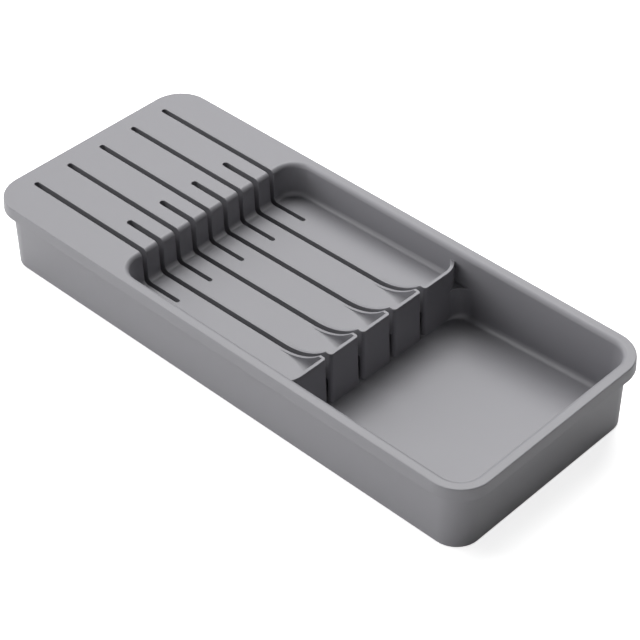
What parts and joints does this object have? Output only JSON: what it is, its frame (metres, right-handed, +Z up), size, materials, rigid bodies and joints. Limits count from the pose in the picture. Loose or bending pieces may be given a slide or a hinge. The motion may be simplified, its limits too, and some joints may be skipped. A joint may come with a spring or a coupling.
{
  "type": "in-drawer knife block",
  "caption": "Moulded drawer tray with a slotted deck and stepped trough that hold knives flat with blades in a closed chamber, an open bin at one end and a lift-off base with non-slip feet.",
  "frame": {"origin": "middle of the footprint, on the plane of the feet's undersides (the drawer floor)", "axes": "+X along the block from the slotted deck towards the open bin, +Y across it, +Z up"},
  "size_m": [0.4, 0.17, 0.0522],
  "materials": {
    "grey_plastic": "fine moulded satin texture, cool mid grey",
    "cover_plastic": "plain moulded matte, cool mid grey",
    "foot_rubber": "soft matte non-slip pad"
  },
  "bodies": {
    "base": {"base_cover": "cover_plastic", "foot_left_near": "foot_rubber", "foot_left_far": "foot_rubber", "foot_right_near": "foot_rubber", "foot_right_far": "foot_rubber"},
    "tray": {"tray_body": "grey_plastic"}
  },
  "joints": [
    {"name": "tray_lift", "type": "slide", "parent": "base", "child": "tray", "axis": [0, 0, 1], "range_m": [0, 0.06]}
  ]
}
